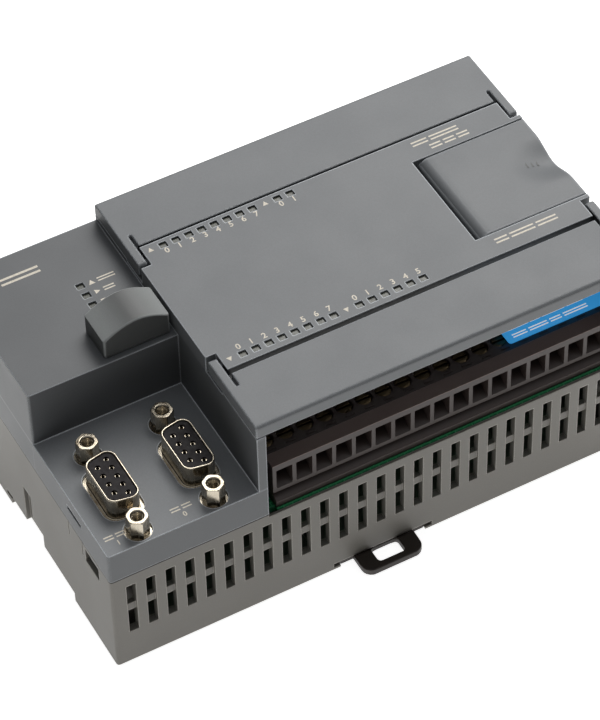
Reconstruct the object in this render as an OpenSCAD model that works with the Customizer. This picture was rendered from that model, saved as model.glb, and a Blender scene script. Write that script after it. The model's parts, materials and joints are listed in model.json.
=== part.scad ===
// Compact programmable controller: a snap-together housing for a 35 mm rail, with two
// serial ports, hinged terminal covers, plug-in terminals and an access door.
// The finished part lies on its back: +X runs along the rail, +Y to the upper edge, +Z out
// of the front. Modules measure from the lower left corner of the back, and in_frame()
// moves the origin to the middle of the rail seat.

/* [Overall] */
// Width along the rail
unit_w = 140; // [140:0.5:146]
// Height from the lower edge to the upper edge
unit_h = 80; // [80:0.5:84]
// Depth from the back to the front face
unit_d = 62; // [62:0.5:66]
// Height of the base, up to the line where the housing halves meet
base_h = 30.5; // [30:0.1:31]
// Thickness of the housing walls
wall = 2; // [1.8:0.1:2.2]

/* [Front levels] */
// Width of the port bay and the left panel
bay_w = 38.3; // [38:0.1:39]
// Length of the port bay from the lower edge
bay_h = 38; // [37.5:0.1:38.5]
// Height of the port bay's surface above the back
bay_z = 39.9; // [39.5:0.1:40.3]
// Step from the front face down to the left panel
panel_drop = 5.5; // [5:0.1:6]

/* [Ventilation] */
// Number of slots in each row
vent_count = 27; // [20:1:27]
// Distance between slots
vent_pitch = 5; // [4.8:0.05:5]
// Width of a slot
vent_w = 2.4; // [2:0.1:2.8]

/* [Rail] */
// Width of the mounting rail
rail_w = 35; // [35:1:35]
// Depth of the channel that takes the rail
rail_seat = 2.8; // [2.6:0.1:3]
// Thickness of the hook and the latch tongue below the rail's edge
hook_t = 1.6; // [1.4:0.1:1.7]
// Width of the latch slide
latch_w = 26.6; // [24:0.1:28]

/* [Terminals] */
// Number of positions in each plug
term_count = 18; // [12:1:18]
// Distance between positions
term_pitch = 5.18; // [5:0.02:5.18]
// Thickness of the wall between two wire entries
term_bar = 1.1; // [1:0.05:1.3]

/* [Covers] */
// Width of a terminal cover from its free edge to its inner edge
cover_h = 17.3; // [17:0.1:17.5]
// Height of a cover's lip
cover_lip = 3.8; // [3.5:0.1:4]
// Distance of the hinge axis from the unit's edge
hinge_y = 21.5; // [21.4:0.1:21.6]
// Radius of the covers' hinge pins
pin_r = 0.8; // [0.7:0.05:0.85]

/* [Access door] */
// Left edge of the door
door_x = 110; // [109:0.1:111]
// Lower edge of the door
door_y0 = 25.6; // [25.4:0.1:26]
// Upper edge of the door
door_y1 = 54.3; // [54:0.1:54.5]

/* [Ports] */
// Distance between the two jack sockets of a port
jack_pitch = 24.99; // [24.99:0.01:24.99]
// Distance of a port's centre from the lower edge
port_y = 16.4; // [16.3:0.1:16.6]

/* [Indicators] */
// Distance between indicator windows
led_pitch = 3.35; // [3.2:0.05:3.4]
// Centre of the first output window
led_out_x = 46.2; // [46:0.1:47]
// Centre of the first input window
led_in_x = 46.3; // [46:0.1:47]

/* [Hidden] */
$fn = 48;

eps = 0.01;
gap = 0.1;
panel_z = unit_d - panel_drop;
roof = unit_d - wall;
divider_w = 2.3;
term_bay_x = bay_w + divider_w;
block_y0 = 18.6;
block_y1 = unit_h - 18;
block_wall = 1.5;
tab_t = 0.95;

// Openings in the base's long walls: two rows of slots with a shallow recess between them
vent_rows = [[10.5, 17.6], [19.9, 27]];
vent_recess = 0.6;

// Snap tabs at both ends, the windows that they catch in and the slits beside them
snap_y = [6.4, 12.5];
snap_z = [26, 29];
tab_z0 = 24.2;
tab_catch = 0.9;
slit_ys = [14, 21];

// Notch in each end of the base for the rail, and the slot above it
end_notch_y = [38, 47.5];
end_notch_top = 7.6;
end_slot_y = 43.4;
end_slot_top = 15.3;
end_notch_depth = 1.2;

// Rail channel and latch
rail_y0 = unit_h/2 - rail_w/2 - 0.5;
rail_y1 = unit_h/2 + rail_w/2 + 1.1;
rail_floor = rail_seat + 2.2;
hook_reach = 2.6;
hook_l = 40;
latch_x = 70.5;
latch_gap = 0.15;
latch_top = 1.9;
latch_roof_z = 4.2;
latch_step = 0.65;
latch_step_w = 3.6;
tongue_w = 18;
tongue_reach = 2.8;
loop_w = 16;
loop_hole_w = 7.2;
loop_hole_h = 4.5;
loop_bar = 1.8;
loop_r = 2.6;

// Boards
board_t = 1.6;
board_z = base_h - 0.9 - board_t;
top_board_z = 49.6;
top_board_x = 5;
board_y0 = 0.85;
sill_z = base_h - 0.8;
sill_t = 0.7;
post_in = 7;
post_r = 2.5;
hanger_xs = [48, 104];
hanger_ys = [27, 54];
hanger_r = 1.8;

// Covers
cover_x0 = bay_w - 0.1;
arm_w = 2.2;
arm_end = 1.6;
cover_t = 1.6;
rib_xs = [62, 88, 114];
slit_w = 0.8;
slit_h = 4;
hinge_z = unit_d - 2;
lug_w = 5.3;
pin_l = 2.3;
bore_gap = 0.05;

// Terminals: the plug's section, measured from the unit's edge and its back
plug_x0 = 43.4;
plug_x1 = plug_x0 + term_count*term_pitch + term_bar - 0.2;
plug_y0 = 3;
plug_y1 = 16.2;
plug_z0 = 33.2;
plug_z1 = 42.5;
strip_y = 6.9;
header_back = 1;
header_y0 = 1.6;
header_toe = 1.9;
recess_y = 14.8;
recess_z = 40.7;
entry_w = term_pitch - term_bar;
screw_y = 12.4;
screw_r = 1.9;
clamp_y0 = 8.9;
clamp_y1 = 14.6;
clamp_z0 = 34;
clamp_z1 = 38.7;
function term_x(i) = plug_x0 + term_bar - 0.1 + entry_w/2 + i*term_pitch;

// Access door and the well under it
well_floor = unit_d - 7.6;
well_wall = 1.6;
door_r = 2;
door_axis_x = door_x + door_r;
door_t = 1.6;
scoop_y = 40;
scoop_half = 7.6;
scoop_depth = 2.6;
scoop_len = 6;

// Ports
port_xs = [28.8, 9.6];
flange_z = bay_z - 1.55;
flange_t = 0.8;
shell_top = bay_z + 5.5;
shell_t = 0.5;
jack_af = 4.8;
jack_top = bay_z + 5;
contact_pitch = 2.77;

// Indicators
window_w = 2;
window_h = 1.8;
prong_w = window_w - 0.12;
prong_h = window_h - 0.12;
prong_recess = 1.1;
led_out_y = 60.1;
led_in_y = 21.1;
status_x = 25.6;
status_ys = [62.6, 59.3, 56];
outputs = [0, 1, 2, 3, 4, 5, 6, 7, 9, 10];
inputs = [0, 1, 2, 3, 4, 5, 6, 7, 9, 10, 11, 12, 13, 14];

// Cartridge cover: places on the left panel
cart_x0 = 20.3;
cart_x1 = 37.2;
cart_y0 = 39.4;
cart_y1 = 49.6;

// Controls in the well
switch_x = 118.5;
switch_y = 47.2;
switch_step = 2.5;
pot_x = 118.5;
pot_ys = [35.8, 29.8];
dial_r = 2.1;
exp_x = 130.2;
exp_y = 40;
exp_w = 5.6;
exp_h = 17;

// Power supply on the main board
transformer_at = [50, 44, 0];
transformer_size = [16, 14, 15];
coil_ys = [3, 8.5];
coil_t = 2.1;
coil_z0 = 3.2;
coil_z1 = 11.8;
capacitor_xs = [74, 86, 98];
capacitor_y = 51;
capacitor_r = 5;
capacitor_h = 17;
inductor_at = [58, 31, 0];
inductor_r = 6;
inductor_h = 10.5;
inductor_flange = 2;

// Colours
housing_grey = "#6b6e70";
base_grey = "#66645f";
terminal_brown = "#3b322e";
latch_black = "#2a221f";
board_green = "#1d5a3a";
nickel = "#c9c6bd";
black = "#161616";
brass = "#b9975a";
chip_grey = "#232528";

// ---- Helpers ----

// The finished part's frame
module in_frame() {
    translate([-unit_w/2, -unit_h/2, 0]) children();
}

// The upper side is the lower side mirrored across the middle
module on_upper_side() {
    translate([0, unit_h, 0]) mirror([0, 1, 0]) children();
}

module on_both_sides() {
    children();
    on_upper_side() children();
}

module on_both_ends() {
    children();
    translate([unit_w, 0, 0]) mirror([1, 0, 0]) children();
}

// A box between two opposite corners
module block(lo, hi) {
    translate(lo) cube(hi - lo);
}

// A section in Y and Z, carried along X
module along_x(x0, x1) {
    translate([x0, 0, 0]) rotate([90, 0, 90]) linear_extrude(x1 - x0) children();
}

// A section in X and Z, carried along Y
module along_y(y0, y1) {
    translate([0, y1, 0]) rotate([90, 0, 0]) linear_extrude(y1 - y0) children();
}

// A pin or a bore along X or Y
module rod_x(x0, x1, r) {
    translate([x0, 0, 0]) rotate([0, 90, 0]) cylinder(h = x1 - x0, r = r);
}

module rod_y(y0, y1, r) {
    translate([0, y0, 0]) rotate([-90, 0, 0]) cylinder(h = y1 - y0, r = r);
}

function unit(v) = v/norm(v);

// Points of the arc that rounds corner q of a convex outline, between p and s
function corner(p, q, s, r, n) =
    let (
        a = unit(p - q),
        b = unit(s - q),
        half = acos(a*b)/2,
        c = q + unit(a + b)*r/sin(half),
        u = q + a*r/tan(half) - c,
        w = q + b*r/tan(half) - c,
        t0 = atan2(u[1], u[0]),
        sweep = (atan2(w[1], w[0]) - t0 + 540) % 360 - 180
    )
    r > 0
        ? [for (i = [0:n]) c + r*[cos(t0 + sweep*i/n), sin(t0 + sweep*i/n)]]
        : [q];

// An outline with each corner rounded by its own radius
function rounded(points, radii, n = 5) =
    let (m = len(points))
    [for (i = [0:m - 1])
        each corner(points[(i + m - 1) % m], points[i], points[(i + 1) % m], radii[i], n)];

module rounded_box(lo, hi, r) {
    outline = [[lo[0], lo[1]], [hi[0], lo[1]], [hi[0], hi[1]], [lo[0], hi[1]]];
    translate([0, 0, lo[2]])
        linear_extrude(hi[2] - lo[2]) polygon(rounded(outline, [r, r, r, r]));
}

// ---- Base ----

module base() {
    color(base_grey) in_frame() difference() {
        union() {
            difference() {
                rounded_box([0, 0, 0], [unit_w, unit_h, base_h], 0.8);
                base_hollow();
                base_channel();
            }
            rail_hooks();
            latch_roof();
            board_posts();
        }
        latch_channel();
        on_both_sides() vents();
        on_both_ends() on_both_sides() snap_window();
        on_both_ends() end_recess();
    }
}

module base_hollow() {
    block([wall, wall, rail_floor], [unit_w - wall, unit_h - wall, base_h + 1]);
    block([wall, wall, wall], [unit_w - wall, rail_y0 - wall, rail_floor + 1]);
    block([wall, rail_y1 + wall, wall], [unit_w - wall, unit_h - wall, rail_floor + 1]);
    // The terminal bays' front edges are lower and thinner, so that the board shows behind them
    on_both_sides() {
        block([term_bay_x, -1, sill_z], [unit_w - wall, wall + 1, base_h + 1]);
        block([term_bay_x, sill_t, board_z - gap], [unit_w - wall, wall + 1, base_h + 1]);
    }
}

module base_channel() {
    block([-1, rail_y0, -1], [unit_w + 1, rail_y1, rail_seat]);
}

// Fixed hooks that reach under the rail's upper edge
module rail_hooks() {
    on_both_ends() block([0, rail_y1 - hook_reach, 0], [hook_l, rail_y1 + 1, hook_t]);
}

// Thicker floor over the latch slide
module latch_roof() {
    half = latch_w/2 + 2;
    block([latch_x - half, wall - eps, latch_top + gap], [latch_x + half, rail_y0 - eps, latch_roof_z]);
}

module latch_channel() {
    wide = latch_w/2;
    narrow = wide - latch_step_w/2;
    block([latch_x - wide, -1, latch_step], [latch_x + wide, rail_y0 + eps, latch_top + gap]);
    block([latch_x - narrow, -1, -1], [latch_x + narrow, rail_y0 + eps, latch_step + eps]);
}

module board_posts() {
    for (x = [post_in, unit_w - post_in], y = [post_in, unit_h - post_in])
        translate([x, y, wall - eps]) cylinder(h = board_z - wall + eps, r = post_r);
}

// One long wall's slots, with the recessed bars between the rows
module vents() {
    for (i = [0:vent_count - 1]) {
        x = vent_pitch*(i + 1);
        for (row = vent_rows)
            block([x - vent_w/2, -1, row[0]], [x + vent_w/2, wall + 1, row[1]]);
        block([x - vent_w/2, -1, vent_rows[0][1] - gap], [x + vent_w/2, vent_recess, vent_rows[1][0] + gap]);
    }
}

// Window for a snap tab, with the slits that free the tongue beside it
module snap_window() {
    block([-1, snap_y[0] - 0.4, snap_z[0] - 1], [wall + 1, snap_y[1] + 0.4, snap_z[1] + 0.4]);
    for (y = slit_ys)
        block([-1, y, snap_z[0] - 0.4], [wall + 1, y + 0.5, base_h + 1]);
}

module end_recess() {
    block([-1, end_notch_y[0], -1], [end_notch_depth, end_notch_y[1], end_notch_top]);
    block([-1, end_slot_y, end_notch_top - 1], [end_notch_depth, end_notch_y[1], end_slot_top]);
}

// ---- Rail latch ----

module din_latch() {
    wide = latch_w/2 - latch_gap;
    narrow = wide - latch_step_w/2;
    tip = rail_y0 + tongue_reach;
    color(latch_black) in_frame() difference() {
        union() {
            block([latch_x - wide, 0.5, latch_step + latch_gap],
                [latch_x + wide, rail_y0 - 2, latch_top - latch_gap]);
            block([latch_x - narrow, 0.5, latch_gap],
                [latch_x + narrow, rail_y0 - 2, latch_top - latch_gap]);
            block([latch_x - tongue_w/2, rail_y0 - 3, latch_gap], [latch_x + tongue_w/2, tip, hook_t - 0.05]);
            loop_plate(1.2, latch_top - latch_gap);
            loop_plate(-0.2, latch_top + 0.2);
        }
        rounded_box([latch_x - loop_hole_w/2, -loop_hole_h, -1],
            [latch_x + loop_hole_w/2, 0, unit_d], 1);
    }
}

// The pull loop's outline up to y1, with round outer corners
module loop_plate(y1, z1) {
    half = loop_w/2;
    y0 = -loop_hole_h - loop_bar;
    outline = [[-half, y0], [half, y0], [half, y1], [-half, y1]];
    translate([latch_x, 0, latch_gap])
        linear_extrude(z1 - latch_gap) polygon(rounded(outline, [loop_r, loop_r, 0, 0]));
}

// ---- Upper housing ----

module upper_housing() {
    z0 = base_h + gap;
    color(housing_grey) in_frame() difference() {
        union() {
            difference() {
                housing_masses(z0);
                housing_hollows(z0 - 1);
            }
            hinge_lugs();
            well_tray();
            snap_tabs(z0);
            board_hangers();
        }
        hinge_notches();
        door_opening();
        well_floor_holes();
        indicator_windows();
        port_openings();
        cartridge_opening();
        on_both_ends() end_slits();
    }
}

module housing_masses(z0) {
    rounded_box([0, 0, z0], [bay_w + 1, bay_h + 1, bay_z], 0.8);
    rounded_box([0, bay_h, z0], [bay_w + 1, unit_h, panel_z], 0.6);
    side_z = unit_d - cover_lip - 0.2;
    block([bay_w, 0, z0], [term_bay_x, unit_h, side_z]);
    block([unit_w - wall, 0, z0], [unit_w, unit_h, side_z]);
    block([bay_w, block_y0, z0], [unit_w, block_y1, unit_d]);
}

module housing_hollows(z0) {
    in_y0 = block_y0 + block_wall;
    in_y1 = block_y1 - block_wall;
    block([wall, in_y0, z0], [unit_w - wall, in_y1, bay_z - wall]);
    block([wall, wall, z0], [bay_w, in_y0 + 1, bay_z - wall]);
    block([wall, bay_h + wall, z0], [bay_w, unit_h - wall, panel_z - wall]);
    block([bay_w - 1, bay_h + wall, z0], [term_bay_x, in_y1, panel_z - wall]);
    block([term_bay_x, in_y0, z0], [unit_w - wall, in_y1, roof]);
}

// Solid corners that hold the covers' hinge pins
module hinge_lugs() {
    on_both_ends_of_block() on_both_sides()
        block([bay_w, block_y0, hinge_z - 6], [bay_w + lug_w, hinge_y + 4.3, unit_d - eps]);
}

module on_both_ends_of_block() {
    children();
    translate([unit_w + bay_w, 0, 0]) mirror([1, 0, 0]) children();
}

module hinge_notches() {
    on_both_ends_of_block() on_both_sides() {
        block([bay_w - 1, cover_h - 1, hinge_z - 2.8],
            [bay_w + arm_w + 0.5, hinge_y + 2.7, unit_d + 1]);
        translate([0, hinge_y, hinge_z]) rod_x(bay_w + 2, bay_w + lug_w - 0.3, pin_r + bore_gap);
    }
}

// Tray under the access door
module well_tray() {
    block([door_x - 0.4 - well_wall, door_y0 - 0.3 - well_wall, well_floor - 1.2],
        [unit_w - wall + eps, door_y1 + 0.3 + well_wall, unit_d - eps]);
}

module door_opening() {
    y0 = door_y0 - 0.3;
    y1 = door_y1 + 0.3;
    block([door_x - 0.4, y0, well_floor], [unit_w - wall, y1, unit_d + 1]);
    block([unit_w - wall - 1, y0, unit_d - door_t - 0.2], [unit_w + 1, y1, unit_d + 1]);
    block([unit_w - wall - 1, scoop_y - scoop_half - 1, unit_d - 4.6],
        [unit_w + 1, scoop_y + scoop_half + 1, unit_d + 1]);
    translate([door_axis_x, 0, hinge_z])
        rod_y(y0 - well_wall + 0.3, y1 + well_wall - 0.3, pin_r + bore_gap);
}

module well_floor_holes() {
    for (y = pot_ys)
        translate([pot_x, y, well_floor - 2]) cylinder(h = 3, r = dial_r + 0.4);
    block([switch_x - 1.6, switch_y - 2*switch_step - 1.4, well_floor - 2],
        [switch_x + 1.6, switch_y + 1.4, well_floor + 1]);
    block([exp_x - exp_w/2 - 0.2, exp_y - exp_h/2 - 0.2, well_floor - 2],
        [exp_x + exp_w/2 + 0.2, exp_y + exp_h/2 + 0.2, well_floor + 1]);
}

// Tabs that snap into the base's windows
module snap_tabs(z0) {
    on_both_ends() on_both_sides() {
        block([wall + gap, snap_y[0], tab_z0], [wall + tab_t, snap_y[1], z0 + 2.4]);
        block([tab_catch, snap_y[0], snap_z[0]], [wall + 0.3, snap_y[1], snap_z[1]]);
        block([wall - 1, snap_y[0], z0 + 0.5], [wall + tab_t, snap_y[1], z0 + 2.4]);
    }
}

// Posts that carry the top board
module board_hangers() {
    z = top_board_z + board_t;
    for (x = hanger_xs, y = hanger_ys)
        translate([x, y, z]) cylinder(h = roof - z + eps, r = hanger_r);
}

module indicator_windows() {
    for (i = outputs)
        window(led_out_x + i*led_pitch, led_out_y, unit_d);
    for (i = inputs)
        window(led_in_x + i*led_pitch, led_in_y, unit_d);
    for (y = status_ys)
        window(status_x, y, panel_z);
    // The wall is thinner beside the output windows, to make room for their light pipe
    block([led_out_x - 2, led_out_y, top_board_z],
        [led_out_x + max(outputs)*led_pitch + 2, led_out_y + window_h/2 + 0.05, roof]);
}

module window(x, y, z) {
    block([x - window_w/2, y - window_h/2, z - wall - 1], [x + window_w/2, y + window_h/2, z + 1]);
}

module port_openings() {
    for (x = port_xs) translate([x, port_y, 0]) {
        translate([0, 0, flange_z - 1]) linear_extrude(9) d_outline(1);
        for (s = [-1, 1])
            translate([0, s*jack_pitch/2, flange_z - 1]) cylinder(h = 9, r = 3.3);
        block([-6.5, -15.6, bay_z - wall - 1], [6.5, 15.6, flange_z + flange_t + 0.05]);
    }
}

module cartridge_opening() {
    block([cart_x0 + 2.6, cart_y0 + 2.2, panel_z - wall - 1],
        [cart_x1 - 2.6, cart_y1 - 2.2, panel_z + 1]);
}

module end_slits() {
    on_both_sides() block([-1, 14, 35.2], [wall + 1, 21, 36.5]);
}

// ---- Boards ----

module main_board() {
    x1 = unit_w - wall - tab_t - 0.15;
    color(board_green) in_frame() {
        block([wall + tab_t + 0.15, wall + 0.2, board_z], [x1, unit_h - wall - 0.2, board_z + board_t]);
        block([plug_x0, board_y0, board_z], [x1, unit_h - board_y0, board_z + board_t]);
    }
}

module top_board() {
    z1 = top_board_z + board_t;
    color(board_green) in_frame() {
        block([term_bay_x + 1.4, block_y0 + 2, top_board_z], [unit_w - 4, block_y1 - 2, z1]);
        block([top_board_x, bay_h + 2.6, top_board_z], [term_bay_x + 2, block_y1 - 2, z1]);
        block([top_board_x, bay_h + 2.6, top_board_z], [bay_w - 2, block_y1 + 2.4, z1]);
    }
}

module board_link() {
    color(black) in_frame() block([70, 38, board_z + board_t], [96, 43, top_board_z]);
}

// ---- Terminals ----

module terminal_header() {
    z0 = board_z + board_t;
    color(terminal_brown) difference() {
        along_x(plug_x0, plug_x1 - 0.7) polygon([
            [header_y0, z0], [plug_y1 + header_back, z0],
            [plug_y1 + header_back, plug_z1 - 2], [plug_y1 + 0.1, plug_z1 - 2],
            [plug_y1 + 0.1, plug_z0 - 0.3], [plug_y0 + 0.6, plug_z0 - 0.3], [header_y0, z0 + header_toe]]);
        for (i = [0:term_count - 1])
            block([term_x(i) - 0.5, plug_y1 + 0.1 - eps, z0 - 1], [term_x(i) + 0.5, plug_y1 + 0.7, 37.1]);
    }
}

module header_pins() {
    z0 = board_z + board_t;
    color(brass) for (i = [0:term_count - 1]) {
        block([term_x(i) - 0.4, plug_y1 + 0.2, z0], [term_x(i) + 0.4, plug_y1 + 0.6, 37]);
        block([term_x(i) - 0.4, clamp_y1, 36.2], [term_x(i) + 0.4, plug_y1 + 0.6, 37]);
    }
}

module terminal_plug() {
    color(terminal_brown) {
        difference() {
            block([plug_x0, plug_y0, plug_z0], [plug_x1, plug_y1, plug_z1]);
            block([plug_x0 - 1, strip_y, recess_z], [plug_x1 + 1, recess_y, plug_z1 + 1]);
            for (i = [0:term_count - 1])
                plug_position(term_x(i));
        }
        // Raised marks in front of the screws
        for (i = [0:term_count - 1])
            block([term_x(i) - 1.2, 9, recess_z - eps], [term_x(i) + 1.2, 9.5, recess_z + 0.3]);
    }
}

// One position: the wire entry with its sloping lip, the clamp's space and the screw's well
module plug_position(x) {
    half = entry_w/2;
    along_x(x - half, x + half) polygon([
        [plug_y0 - 1, plug_z0 + 0.6], [plug_y0, plug_z0 + 1.2], [plug_y0 + 2.4, plug_z0 + 2.4],
        [clamp_y0, plug_z0 + 2.4], [clamp_y0, plug_z1 - 2], [plug_y0 - 1, plug_z1 - 2]]);
    block([x - half, clamp_y0 - eps, clamp_z0 - 0.1], [x + half, clamp_y1 + 0.1, clamp_z1 + 0.1]);
    translate([x, screw_y, clamp_z1 - 1]) cylinder(h = 4, r = screw_r + 0.2);
    block([x - 0.5, clamp_y1 - 1, 36.1], [x + 0.5, plug_y1 + 1, 37.1]);
}

module terminal_screws() {
    color(brass) for (i = [0:term_count - 1])
        translate([term_x(i), screw_y, 0]) difference() {
            union() {
                translate([0, 0, clamp_z1 + 0.1]) cylinder(h = 1.4, r = screw_r);
                translate([0, 0, clamp_z0 + 1.2]) cylinder(h = clamp_z1 - clamp_z0, r = 1.3);
            }
            block([-3, -0.3, clamp_z1 + 0.9], [3, 0.3, clamp_z1 + 3]);
        }
}

module wire_clamps() {
    half = entry_w/2 - 0.15;
    color(nickel) for (i = [0:term_count - 1])
        translate([term_x(i), 0, 0]) difference() {
            block([-half, clamp_y0, clamp_z0], [half, clamp_y1, clamp_z1]);
            block([-half + 0.5, clamp_y0 - 1, clamp_z0 + 0.7], [half - 0.5, clamp_y1 - 0.5, clamp_z1 - 1]);
            translate([0, screw_y, clamp_z1 - 2]) cylinder(h = 4, r = 1.35);
        }
}

module lower_terminal_header() { in_frame() terminal_header(); }
module lower_header_pins() { in_frame() header_pins(); }
module lower_terminal_plug() { in_frame() terminal_plug(); }
module lower_terminal_screws() { in_frame() terminal_screws(); }
module lower_wire_clamps() { in_frame() wire_clamps(); }
module upper_terminal_header() { in_frame() on_upper_side() terminal_header(); }
module upper_header_pins() { in_frame() on_upper_side() header_pins(); }
module upper_terminal_plug() { in_frame() on_upper_side() terminal_plug(); }
module upper_terminal_screws() { in_frame() on_upper_side() terminal_screws(); }
module upper_wire_clamps() { in_frame() on_upper_side() wire_clamps(); }

// Thin label across the screw wells at the right
module terminal_label() {
    color("#2f94e0") in_frame()
        rounded_box([109.2, 8.3, plug_z1], [plug_x1 - 1, plug_y1 - 0.2, plug_z1 + 0.3], 0.8);
}

// ---- Covers ----

module terminal_cover() {
    z0 = unit_d - cover_lip;
    plate_z = unit_d - cover_t;
    color(housing_grey) difference() {
        union() {
            along_x(cover_x0, unit_w) difference() {
                polygon(rounded([[0, z0], [cover_h, z0], [cover_h, unit_d], [0, unit_d]],
                    [0, 0, 0, 0.9]));
                polygon([[1.6, z0 - 1], [cover_h + 1, z0 - 1], [cover_h + 1, plate_z], [1.6, plate_z]]);
            }
            on_both_ends_of_block() {
                cover_arm(z0);
                translate([0, hinge_y, hinge_z]) rod_x(cover_x0 + arm_w - eps, bay_w + arm_w + pin_l, pin_r);
            }
            // Stiffening ribs under the plate
            for (x = rib_xs)
                block([x - 0.5, 1, plate_z - 1.4], [x + 0.5, cover_h - 1, plate_z + eps]);
        }
        on_both_ends_of_block()
            block([cover_x0 + arm_w, cover_h - slit_h, z0 - 1],
                [cover_x0 + arm_w + slit_w, cover_h + 1, unit_d + 1]);
    }
}

// Side skirt that carries on past the plate as the hinge arm
module cover_arm(z0) {
    arm_y = hinge_y + arm_end;
    along_x(cover_x0, cover_x0 + arm_w)
        polygon(rounded([[0, z0], [arm_y, z0], [arm_y, unit_d], [0, unit_d]],
            [0, 0.9, 0.9, 0.9]));
}

module lower_terminal_cover() { in_frame() terminal_cover(); }
module upper_terminal_cover() { in_frame() on_upper_side() terminal_cover(); }

// ---- Access door ----

module access_door() {
    color(housing_grey) in_frame() difference() {
        union() {
            block([door_axis_x, door_y0, unit_d - door_t], [unit_w, door_y1, unit_d]);
            translate([door_axis_x, 0, hinge_z]) {
                rod_y(door_y0, door_y1, door_r);
                rod_y(door_y0 - well_wall, door_y1 + well_wall, pin_r);
            }
            // Deeper edge behind the finger scoop
            block([unit_w - scoop_len, scoop_y - scoop_half, unit_d - 4.2],
                [unit_w, scoop_y + scoop_half, unit_d - eps]);
        }
        door_scoop();
    }
}

// The scoop deepens towards the free edge
module door_scoop() {
    r = (scoop_half*scoop_half + scoop_depth*scoop_depth)/(2*scoop_depth);
    tilt = atan(scoop_depth/scoop_len);
    translate([unit_w, scoop_y, unit_d - scoop_depth + r])
        rotate([0, tilt, 0]) rod_x(-scoop_len - 8, scoop_len + 8, r);
}

// ---- Cartridge cover and connector ----

module cartridge_cover() {
    color(housing_grey) in_frame() {
        difference() {
            along_y(cart_y0, cart_y1) polygon(cap_outline(0));
            along_y(cart_y0 + 1.4, cart_y1 - 1.4) polygon(cap_outline(1.4));
        }
        for (y = [cart_y0 + 2.4, cart_y1 - 3.4])
            block([25.5, y, panel_z - 4], [32, y + 1, panel_z + 7]);
    }
}

// Arched section: straight sides under a shallow crown
function cap_outline(inset) =
    let (
        x0 = cart_x0 + inset,
        x1 = cart_x1 - inset,
        side = 5.6 - inset,
        rise = 3.2,
        n = 16
    )
    concat([[x1, panel_z + (inset > 0 ? -1 : 0.05)], [x1, panel_z + side + 0.4]],
        [for (i = [1:n - 1]) [x1 + (x0 - x1)*i/n, panel_z + side + 0.4*(1 - i/n) + rise*sin(180*i/n)]],
        [[x0, panel_z + side], [x0, panel_z + (inset > 0 ? -1 : 0.05)]]);

module cartridge_connector() {
    color(black) in_frame() difference() {
        block([25, 43, top_board_z + board_t], [32.5, 46, panel_z - 1.4]);
        block([25.8, 44, panel_z - 4.4], [31.7, 45, panel_z]);
    }
}

// ---- Ports ----

// D-shaped outline, long along Y, wide side to +X, grown by g
module d_outline(g) {
    wide = 8.16 + g;
    narrow = 6.77 + g;
    half = 3.95 + g;
    polygon(rounded([[-half, -narrow], [half, -wide], [half, wide], [-half, narrow]],
        [2.4 + g, 2.4 + g, 2.4 + g, 2.4 + g], 6));
}

module at_port(k) {
    in_frame() translate([port_xs[k], port_y, 0]) children();
}

module at_jacks() {
    for (s = [-1, 1]) translate([0, s*jack_pitch/2, 0]) children();
}

function contact_places() = concat(
    [for (i = [-2:2]) [1.42, i*contact_pitch]],
    [for (i = [-1.5:1.5]) [-1.42, i*contact_pitch]]);

module port_shell(k) {
    color(nickel) at_port(k) difference() {
        union() {
            rounded_box([-6.2, -15.4, flange_z], [6.2, 15.4, flange_z + flange_t], 1.4);
            translate([0, 0, flange_z]) linear_extrude(shell_top - flange_z) d_outline(0);
            translate([0, 0, flange_z - 3.5]) linear_extrude(4) d_outline(0.6);
        }
        translate([0, 0, flange_z - 5]) linear_extrude(30) d_outline(-shell_t);
        at_jacks() translate([0, 0, flange_z - 1]) cylinder(h = 4, r = 1.6);
    }
}

module port_insulator(k) {
    color(black) at_port(k) difference() {
        translate([0, 0, board_z + board_t]) linear_extrude(shell_top - 0.35 - board_z - board_t)
            d_outline(-shell_t);
        for (p = contact_places()) translate([p[0], p[1], 0]) {
            translate([0, 0, board_z]) cylinder(h = shell_top - 1 - board_z, r = 0.85);
            translate([0, 0, shell_top - 2]) cylinder(h = 3, r = 0.6);
        }
    }
}

module port_contacts(k) {
    color(brass) at_port(k) for (p = contact_places())
        translate([p[0], p[1], board_z + board_t]) difference() {
            cylinder(h = shell_top - 1.1 - board_z - board_t, r = 0.8);
            translate([0, 0, shell_top - 7 - board_z - board_t]) cylinder(h = 9, r = 0.5);
        }
}

module port_jackscrews(k) {
    z0 = flange_z + flange_t;
    color(nickel) at_port(k) at_jacks() difference() {
        union() {
            intersection() {
                translate([0, 0, z0]) rotate([0, 0, 30])
                    cylinder(h = jack_top - z0, d = jack_af/cos(30), $fn = 6);
                translate([0, 0, z0]) cylinder(h = jack_top - z0, r1 = jack_af, r2 = jack_af*0.53);
            }
            translate([0, 0, board_z + board_t]) cylinder(h = flange_z - board_z - board_t, r = 1.8);
            translate([0, 0, flange_z - 0.5]) cylinder(h = flange_t + 1, r = 1.5);
        }
        translate([0, 0, jack_top - 5.2]) cylinder(h = 6, r = 1.2);
        translate([0, 0, jack_top - 0.5]) cylinder(h = 0.6, r1 = 1.2, r2 = 1.75);
    }
}

module port_0_shell() { port_shell(0); }
module port_0_insulator() { port_insulator(0); }
module port_0_contacts() { port_contacts(0); }
module port_0_jackscrews() { port_jackscrews(0); }
module port_1_shell() { port_shell(1); }
module port_1_insulator() { port_insulator(1); }
module port_1_contacts() { port_contacts(1); }
module port_1_jackscrews() { port_jackscrews(1); }

// ---- Indicators ----

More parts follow.
